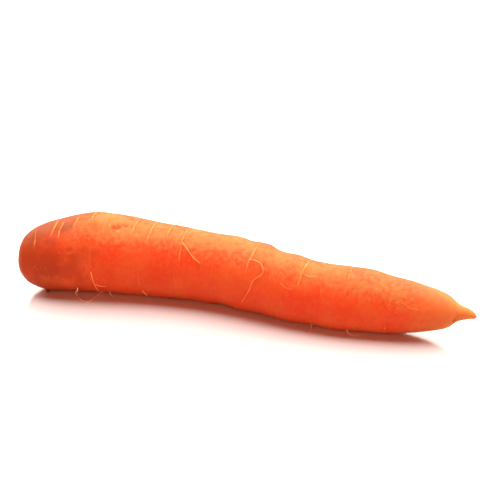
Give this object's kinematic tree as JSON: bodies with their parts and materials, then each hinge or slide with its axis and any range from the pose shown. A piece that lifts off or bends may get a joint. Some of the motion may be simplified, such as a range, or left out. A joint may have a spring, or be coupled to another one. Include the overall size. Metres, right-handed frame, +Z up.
{
  "type": "carrot",
  "caption": "Whole fresh carrot lying on its side: a long, slightly bent orange root with a blunt crown, trimmed leaf stalks and a pointed tip.",
  "frame": {"origin": "on the surface, under the middle of the whole carrot's bounding box", "axes": "+X along the carrot from the crown to the tip, +Z up, +Y to the left of someone looking from the crown to the tip"},
  "size_m": [0.1968, 0.0414, 0.0352],
  "materials": {
    "orange_skin": "satin",
    "dry_stalk": "matte"
  },
  "bodies": {
    "root": {"taproot": "orange_skin", "leaf_stalk_stubs": "dry_stalk"}
  },
  "joints": []
}
